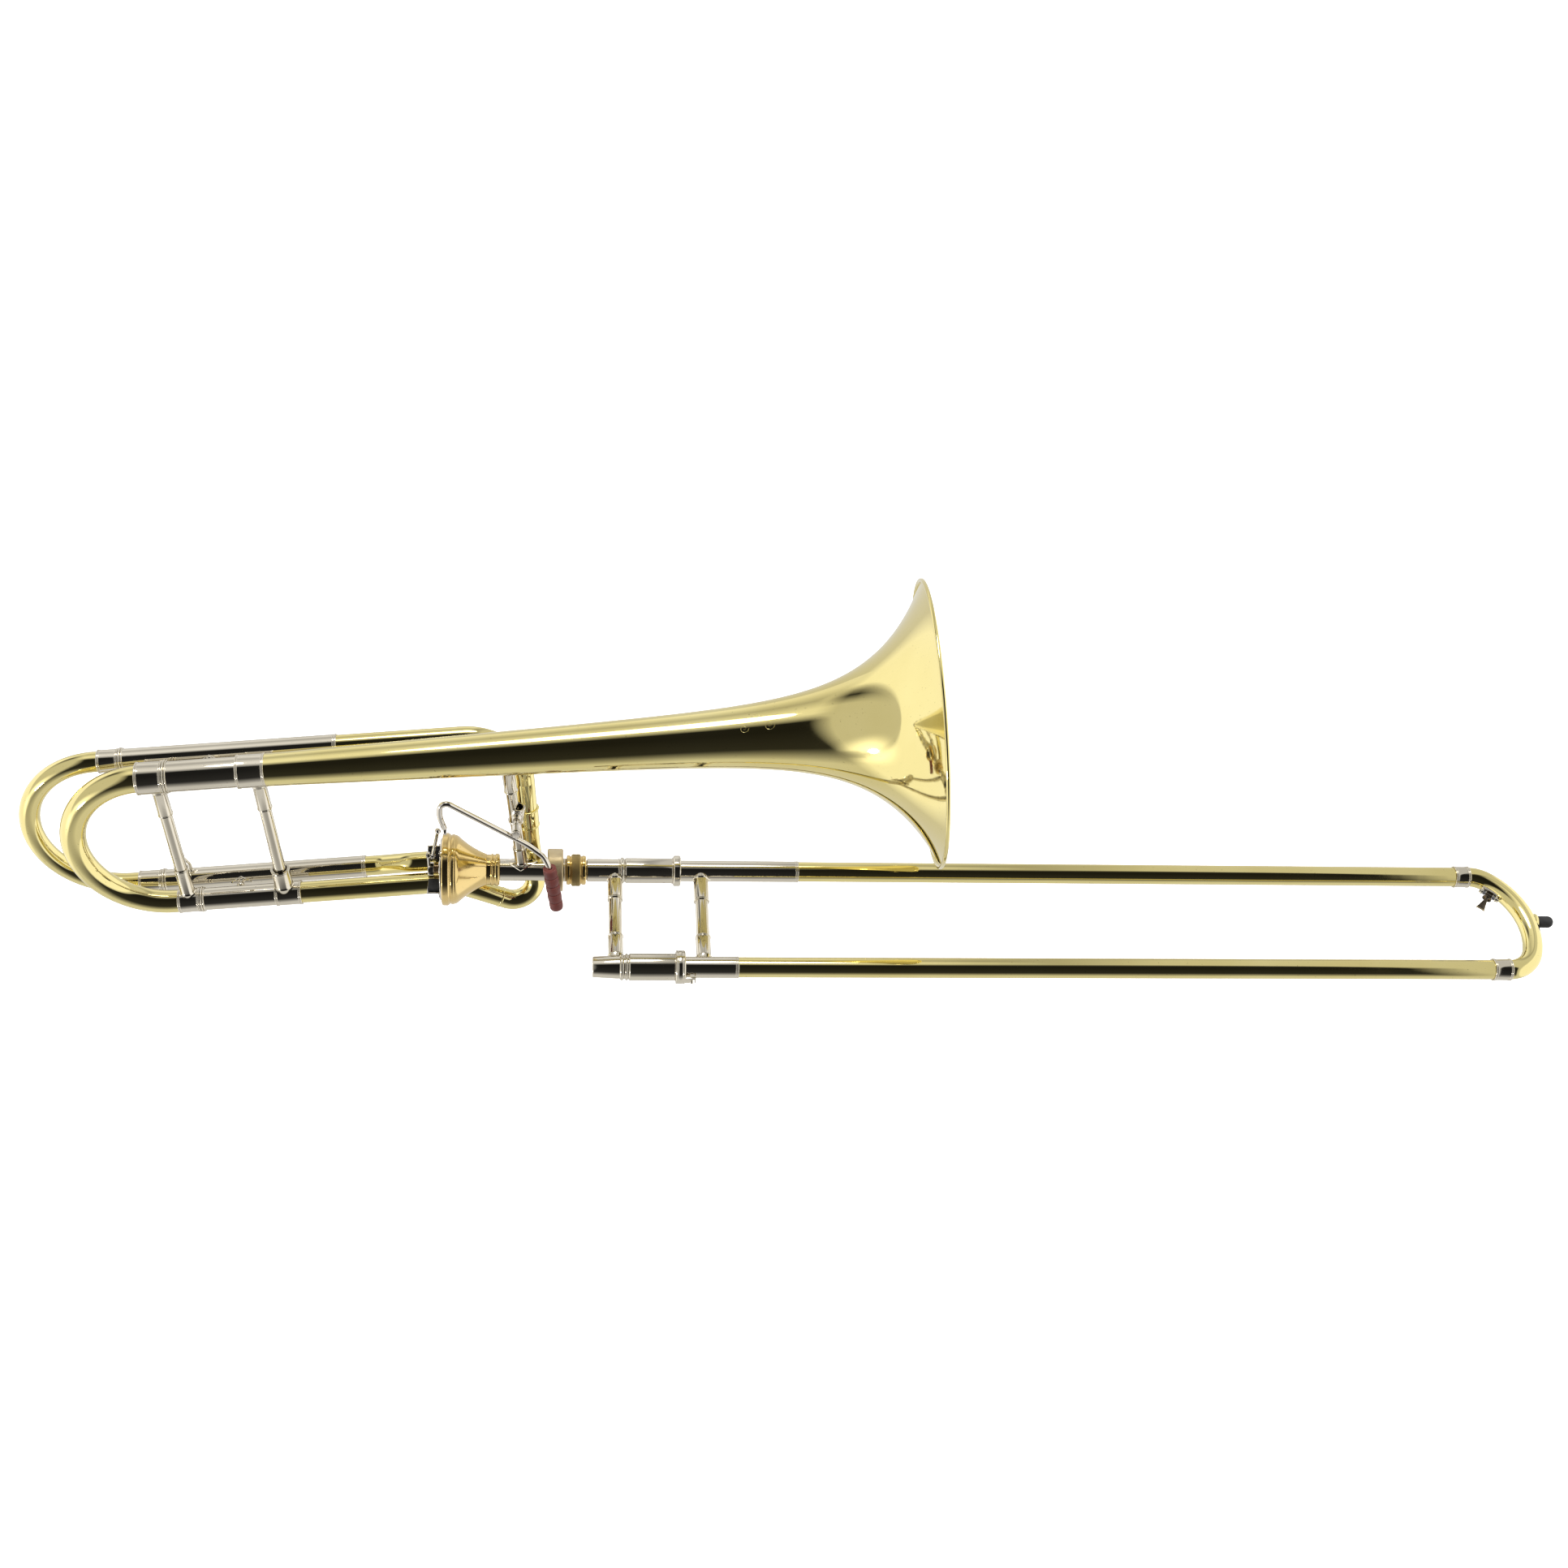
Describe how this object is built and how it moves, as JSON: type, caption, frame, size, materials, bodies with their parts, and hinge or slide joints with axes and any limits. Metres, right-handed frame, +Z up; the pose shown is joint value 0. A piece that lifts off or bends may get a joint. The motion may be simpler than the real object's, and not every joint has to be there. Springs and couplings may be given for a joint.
{
  "type": "tenor trombone with axial-flow F attachment",
  "caption": "Tenor trombone with closed hand slide, flared bell, main and F tuning slides, conical axial-flow valve worked by a thumb lever, water key and slide lock.",
  "frame": {"origin": "centre of the mouthpiece receiver's mouth", "axes": "+X along the hand slide toward its bow, +Y from the mouthpiece tube to the bell-side slide tube, +Z up as the trombone lies in its picture pose"},
  "size_m": [1.1963, 0.2411, 0.3094],
  "materials": {
    "lacquered_brass": "polished under clear lacquer",
    "nickel_silver": "polished nickel silver",
    "plated_tube": "hard-chromed, fine drawn finish",
    "linkage_nickel": "polished nickel plate",
    "collar_satin": "satin, fine turned lines",
    "knurled_brass": "satin brass, knurled",
    "rotor_bronze": "turned and lapped",
    "black_rubber": "matte black",
    "burgundy_grip": "matte, grooved",
    "dark_key": "dark nickel plate, semi-gloss",
    "cork": "natural cork",
    "spring_steel": "drawn wire"
  },
  "bodies": {
    "inner_slide": {"mouthpiece_receiver": "nickel_silver", "lower_cork_barrel": "nickel_silver", "upper_cork_barrel": "nickel_silver", "inner_tube_lower": "plated_tube", "inner_tube_upper": "plated_tube", "slide_neck": "nickel_silver", "inner_brace": "nickel_silver"},
    "slide_lock": {"slide_lock_ring": "nickel_silver"},
    "outer_slide": {"outer_tube_lower": "lacquered_brass", "outer_tube_upper": "lacquered_brass", "outer_sleeve_lower": "nickel_silver", "outer_sleeve_upper": "nickel_silver", "outer_brace": "nickel_silver", "bow": "lacquered_brass", "bow_ferrules": "nickel_silver", "bow_bumper": "black_rubber", "bow_bumper_foot": "lacquered_brass", "water_key_saddle": "nickel_silver", "water_key_spring": "spring_steel"},
    "water_key": {"water_key_lever": "dark_key", "water_key_cork": "cork"},
    "lock_nut": {"bell_lock_nut": "knurled_brass"},
    "bell_section": {"bell": "lacquered_brass", "slide_receiver": "nickel_silver", "receiver_collar": "collar_satin", "valve_casing": "lacquered_brass", "valve_neck": "lacquered_brass", "valve_back_plate": "linkage_nickel", "stop_bumpers": "black_rubber", "hinge_bracket": "linkage_nickel", "lever_brace": "nickel_silver", "bell_tail_ferrule": "nickel_silver", "main_sleeve_upper": "nickel_silver", "main_sleeve_lower": "nickel_silver", "main_leg_ferrule": "nickel_silver", "main_leg": "lacquered_brass", "bell_brace": "nickel_silver", "f_sleeve_upper": "nickel_silver", "f_sleeve_lower": "nickel_silver", "f_gooseneck": "lacquered_brass", "f_down_ferrule": "nickel_silver", "f_return_crook": "lacquered_brass", "f_stub": "lacquered_brass", "f_lower_leg": "lacquered_brass", "leg_stays": "nickel_silver", "f_hook": "nickel_silver"},
    "main_tuning_slide": {"main_crook": "lacquered_brass", "main_crook_ferrules": "nickel_silver", "main_slide_tubes": "plated_tube", "tuning_brace": "nickel_silver"},
    "f_tuning_slide": {"f_crook": "lacquered_brass", "f_crook_ferrules": "nickel_silver", "f_slide_tubes": "plated_tube"},
    "rotor": {"rotor": "rotor_bronze", "stop_arm": "linkage_nickel"},
    "link": {"link_rod": "linkage_nickel"},
    "thumb_lever": {"lever_rod": "linkage_nickel", "thumb_grip": "burgundy_grip"}
  },
  "joints": [
    {"name": "hand_slide", "type": "slide", "parent": "inner_slide", "child": "outer_slide", "axis": [1, 0, 0], "range_m": [0, 0.59]},
    {"name": "slide_lock_turn", "type": "hinge", "parent": "inner_slide", "child": "slide_lock", "pos_m": [0.066, 0, 0], "axis": [1, 0, 0], "range_deg": [0, 38]},
    {"name": "bell_swivel", "type": "hinge", "parent": "inner_slide", "child": "bell_section", "pos_m": [-0.03, 0.088, 0], "axis": [1, 0, 0], "range_deg": [-15, 12]},
    {"name": "lock_nut_turn", "type": "hinge", "parent": "inner_slide", "child": "lock_nut", "pos_m": [-0.012, 0.088, 0], "axis": [1, 0, 0], "range_deg": [-360, 0]},
    {"name": "main_tuning", "type": "slide", "parent": "bell_section", "child": "main_tuning_slide", "axis": [-0.9942, -0.0232, -0.1055], "range_m": [0, 0.055]},
    {"name": "f_tuning", "type": "slide", "parent": "bell_section", "child": "f_tuning_slide", "axis": [-0.9942, -0.0232, -0.1055], "range_m": [0, 0.07]},
    {"name": "thumb_press", "type": "hinge", "parent": "bell_section", "child": "thumb_lever", "pos_m": [-0.058, 0.08863, 0.05874], "axis": [0, 0.9767, -0.2147], "range_deg": [-13.6, 0], "stiffness_Nm_per_rad": 0.35, "springref_deg": 11.46},
    {"name": "rotor_turn", "type": "hinge", "parent": "bell_section", "child": "rotor", "pos_m": [-0.116, 0.088, 0], "axis": [1, 0, 0], "range_deg": [0, 67.1]},
    {"name": "link_swing", "type": "hinge", "parent": "rotor", "child": "link", "pos_m": [-0.1214, 0.08715, 0.01944], "axis": [1, 0, 0], "range_deg": [-89.2, 0]},
    {"name": "water_key_press", "type": "hinge", "parent": "outer_slide", "child": "water_key", "pos_m": [0.71805, 0.07012, 0], "axis": [0.7771, -0.6293, 0], "range_deg": [-16, 0], "stiffness_Nm_per_rad": 0.02, "springref_deg": 14.32}
  ],
  "couplings": [
    {"joint": "rotor_turn", "follows": "thumb_press", "ratio": -4.933},
    {"joint": "link_swing", "follows": "thumb_press", "ratio": 6.552}
  ]
}
